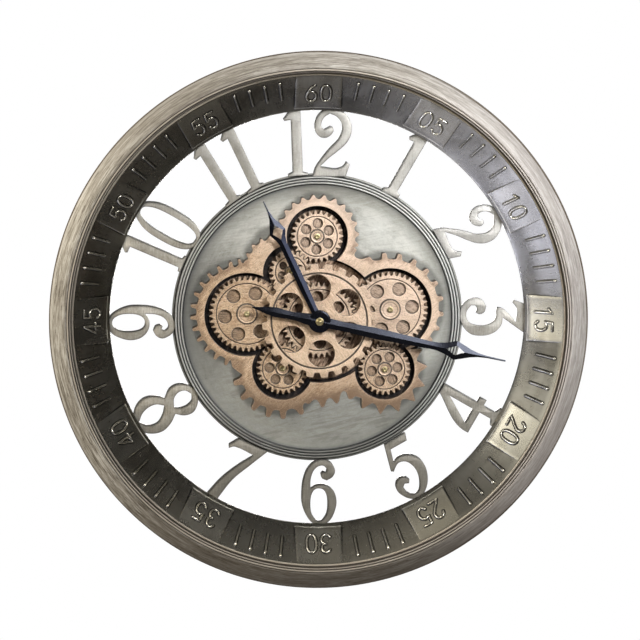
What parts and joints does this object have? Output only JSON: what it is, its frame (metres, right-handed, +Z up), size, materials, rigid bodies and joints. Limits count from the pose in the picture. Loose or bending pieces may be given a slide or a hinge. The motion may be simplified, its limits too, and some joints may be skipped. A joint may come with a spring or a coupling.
{
  "type": "skeleton wall clock",
  "caption": "Round wall clock with an open dial: cut-out numerals between a sloped minute band and a pewter pan, with a bronze train of meshing gears that turn behind the hands.",
  "frame": {"origin": "middle of the flat in the hanger's slot that the wall hook bears on, at the top of the back", "axes": "+Z up, +X to the right as seen from the front, the face looks along -Y and +Y points into the wall"},
  "size_m": [0.545, 0.0706, 0.545],
  "materials": {
    "rim": "taupe with brushed streaks, satin",
    "band": "gunmetal, satin",
    "pewter": "pewter, worn satin",
    "pan": "pewter with a cloudy patina",
    "bronze": "rose bronze paint with a dark wash",
    "floor": "dark, matt",
    "brass": "polished",
    "hand": "black, semi-gloss",
    "steel": "bright zinc",
    "plastic": "black, textured",
    "nylon": "natural nylon",
    "board": "green lacquer",
    "cell": "plain sleeve, satin",
    "pad": "soft, matt"
  },
  "bodies": {
    "frame": {"outer_rim": "rim", "minute_band": "band", "dial_pan": "pan", "gear_bezel": "bronze", "gear_plate": "floor", "numeral_12_one": "pewter", "numeral_12_two": "pewter", "numeral_1": "pewter", "numeral_2": "pewter", "numeral_3": "pewter", "numeral_4": "pewter", "numeral_5": "pewter", "numeral_6": "pewter", "numeral_7": "pewter", "numeral_8": "pewter", "numeral_9": "pewter", "numeral_10_one": "pewter", "numeral_10_zero": "pewter", "numeral_11_left": "pewter", "numeral_11_right": "pewter", "pillar_1": "steel", "pillar_2": "steel", "pillar_3": "steel", "pillar_4": "steel", "stud_top": "brass", "stud_idler": "brass", "stud_left": "brass", "stud_lowleft": "brass", "stud_lowright": "brass", "stud_right": "brass", "centre_bush": "steel", "movement_case": "plastic", "movement_cover": "plastic", "cell_clock": "cell", "cell_gears": "cell", "gear_motor": "steel", "stepper_motor": "steel", "circuit_board": "board", "hanger_plate": "steel", "wall_pad_left": "pad", "wall_pad_right": "pad"},
    "minute": {"minute_hand": "hand", "hand_nut": "brass", "minute_arbor": "steel"},
    "hour": {"hour_hand": "hand", "hour_wheel": "nylon"},
    "setting": {"setting_wheel": "nylon", "setting_knob": "plastic"},
    "centre": {"gear_centre": "bronze", "centre_wheel": "bronze", "drive_wheel": "nylon"},
    "g_top": {"gear_top": "bronze"},
    "g_idler": {"gear_idler": "bronze"},
    "g_left": {"gear_left": "bronze"},
    "g_lowleft": {"gear_lowleft": "bronze"},
    "g_lowright": {"gear_lowright": "bronze"},
    "g_right": {"gear_right": "bronze"},
    "pinion": {"drive_pinion": "nylon"},
    "door": {"battery_door": "plastic"},
    "switch": {"gear_switch": "nylon"}
  },
  "joints": [
    {"name": "minute_turn", "type": "hinge", "parent": "frame", "child": "minute", "pos_m": [0, -0.0588, -0.241], "axis": [0, 1, 0], "continuous": true},
    {"name": "hour_turn", "type": "hinge", "parent": "frame", "child": "hour", "pos_m": [0, -0.0548, -0.241], "axis": [0, 1, 0], "continuous": true},
    {"name": "setting_turn", "type": "hinge", "parent": "frame", "child": "setting", "pos_m": [0, -0.0073, -0.229], "axis": [0, 1, 0], "continuous": true},
    {"name": "centre_turn", "type": "hinge", "parent": "frame", "child": "centre", "pos_m": [0, -0.0393, -0.241], "axis": [0, 1, 0], "continuous": true},
    {"name": "top_gear_turn", "type": "hinge", "parent": "frame", "child": "g_top", "pos_m": [-0.00167, -0.0393, -0.15606], "axis": [0, 1, 0], "continuous": true},
    {"name": "idler_gear_turn", "type": "hinge", "parent": "frame", "child": "g_idler", "pos_m": [-0.02852, -0.0393, -0.19196], "axis": [0, 1, 0], "continuous": true},
    {"name": "left_gear_turn", "type": "hinge", "parent": "frame", "child": "g_left", "pos_m": [-0.0729, -0.0393, -0.23436], "axis": [0, 1, 0], "continuous": true},
    {"name": "lowleft_gear_turn", "type": "hinge", "parent": "frame", "child": "g_lowleft", "pos_m": [-0.0368, -0.0393, -0.29003], "axis": [0, 1, 0], "continuous": true},
    {"name": "lowright_gear_turn", "type": "hinge", "parent": "frame", "child": "g_lowright", "pos_m": [0.06694, -0.0393, -0.29162], "axis": [0, 1, 0], "continuous": true},
    {"name": "right_gear_turn", "type": "hinge", "parent": "frame", "child": "g_right", "pos_m": [0.07245, -0.0393, -0.23056], "axis": [0, 1, 0], "continuous": true},
    {"name": "pinion_turn", "type": "hinge", "parent": "frame", "child": "pinion", "pos_m": [0, -0.0225, -0.267], "axis": [0, 1, 0], "continuous": true},
    {"name": "door_pull", "type": "slide", "parent": "frame", "child": "door", "axis": [0, 1, 0], "range_m": [0, 0.03]},
    {"name": "switch_slide", "type": "slide", "parent": "frame", "child": "switch", "axis": [0, 0, 1], "range_m": [0, 0.005]}
  ],
  "couplings": [
    {"joint": "hour_turn", "follows": "minute_turn", "ratio": 0.083333},
    {"joint": "setting_turn", "follows": "minute_turn", "ratio": -0.33333},
    {"joint": "top_gear_turn", "follows": "centre_turn", "ratio": 1.4815},
    {"joint": "idler_gear_turn", "follows": "centre_turn", "ratio": -1.8182},
    {"joint": "left_gear_turn", "follows": "centre_turn", "ratio": -1},
    {"joint": "lowleft_gear_turn", "follows": "centre_turn", "ratio": -1.4815},
    {"joint": "lowright_gear_turn", "follows": "centre_turn", "ratio": 1.4815},
    {"joint": "right_gear_turn", "follows": "centre_turn", "ratio": -1},
    {"joint": "pinion_turn", "follows": "centre_turn", "ratio": -3}
  ]
}
